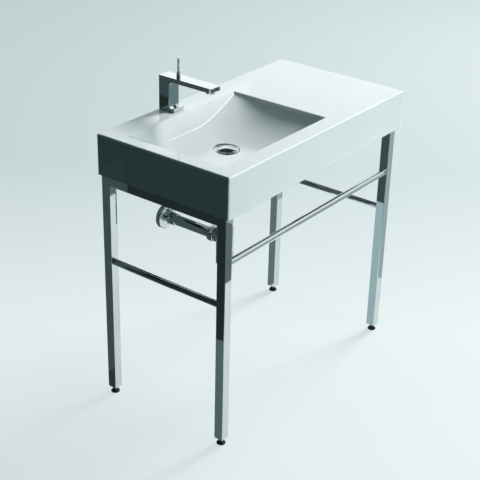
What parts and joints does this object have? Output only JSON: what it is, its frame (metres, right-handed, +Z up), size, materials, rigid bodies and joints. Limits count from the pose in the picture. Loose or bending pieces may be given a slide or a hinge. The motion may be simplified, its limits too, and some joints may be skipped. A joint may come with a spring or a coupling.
{
  "type": "console washbasin",
  "caption": "Wide ceramic washbasin with an off-centre scooped bowl and side shelf on a chrome leg frame with towel bar, pin-lever mixer tap, push plug and bottle trap.",
  "frame": {"origin": "on the floor, under the middle of the basin's outline", "axes": "+Z up, +X to the user's right along the basin's width, -Y towards the user, +Y towards the wall"},
  "size_m": [0.9, 0.48, 1.0488],
  "materials": {
    "ceramic": "white gloss glaze",
    "fitting_chrome": "polished chrome",
    "frame_chrome": "polished chrome on steel tube",
    "rubber": "matt",
    "plastic": "matt",
    "steel": "plain zinc-plated",
    "brass": "turned",
    "foot": "moulded, matt"
  },
  "bodies": {
    "root": {"aerator": "fitting_chrome", "aerator_insert": "plastic", "basin_pads": "rubber", "flange_screw": "steel", "leg_back_left": "frame_chrome", "leg_back_right": "frame_chrome", "leg_front_left": "frame_chrome", "leg_front_right": "frame_chrome", "leg_insert_back_left": "plastic", "leg_insert_back_right": "plastic", "leg_insert_front_left": "plastic", "leg_insert_front_right": "plastic", "plug_guide": "plastic", "side_rail_left": "frame_chrome", "side_rail_right": "frame_chrome", "tail_nut": "fitting_chrome", "tail_seal": "rubber", "tailpiece": "fitting_chrome", "tap_body": "fitting_chrome", "tap_cartridge": "plastic", "tap_clamp_nut": "brass", "tap_clamp_plate": "steel", "tap_clamp_seal": "rubber", "tap_gasket": "rubber", "tap_stud": "steel", "top_rail_left": "frame_chrome", "top_rail_right": "frame_chrome", "towel_bar": "frame_chrome", "towel_bar_plugs": "plastic", "trap_body": "fitting_chrome", "trap_cup": "fitting_chrome", "trap_cup_seal": "rubber", "trap_inlet_nut": "fitting_chrome", "trap_inlet_seal": "rubber", "trap_outlet_nut": "fitting_chrome", "trap_outlet_seal": "rubber", "wall_flange": "fitting_chrome", "washbasin": "ceramic", "waste_backnut": "brass", "waste_flange": "fitting_chrome", "waste_pipe": "fitting_chrome", "waste_seal_lower": "rubber", "waste_seal_upper": "rubber"},
    "lever_collar": {"lever_collar": "fitting_chrome"},
    "lever": {"lever": "fitting_chrome"},
    "waste_plug": {"waste_plug": "fitting_chrome", "plug_seal": "rubber"},
    "foot_front_left": {"foot_pad_front_left": "foot", "foot_stud_front_left": "steel"},
    "foot_front_right": {"foot_pad_front_right": "foot", "foot_stud_front_right": "steel"},
    "foot_back_left": {"foot_pad_back_left": "foot", "foot_stud_back_left": "steel"},
    "foot_back_right": {"foot_pad_back_right": "foot", "foot_stud_back_right": "steel"}
  },
  "joints": [
    {"name": "lever_turn", "type": "hinge", "parent": "root", "child": "lever_collar", "pos_m": [-0.1595, 0.18, 0.9905], "axis": [0, 0, 1], "range_deg": [-45, 45]},
    {"name": "lever_tilt", "type": "hinge", "parent": "lever_collar", "child": "lever", "pos_m": [-0.1595, 0.18, 1.0013], "axis": [1, 0, 0], "range_deg": [0, 18]},
    {"name": "plug_lift", "type": "slide", "parent": "root", "child": "waste_plug", "axis": [0, 0, 1], "range_m": [0, 0.009]},
    {"name": "level_front_left", "type": "slide", "parent": "root", "child": "foot_front_left", "axis": [0, 0, 1], "range_m": [-0.015, 0]},
    {"name": "level_front_right", "type": "slide", "parent": "root", "child": "foot_front_right", "axis": [0, 0, 1], "range_m": [-0.015, 0]},
    {"name": "level_back_left", "type": "slide", "parent": "root", "child": "foot_back_left", "axis": [0, 0, 1], "range_m": [-0.015, 0]},
    {"name": "level_back_right", "type": "slide", "parent": "root", "child": "foot_back_right", "axis": [0, 0, 1], "range_m": [-0.015, 0]}
  ]
}
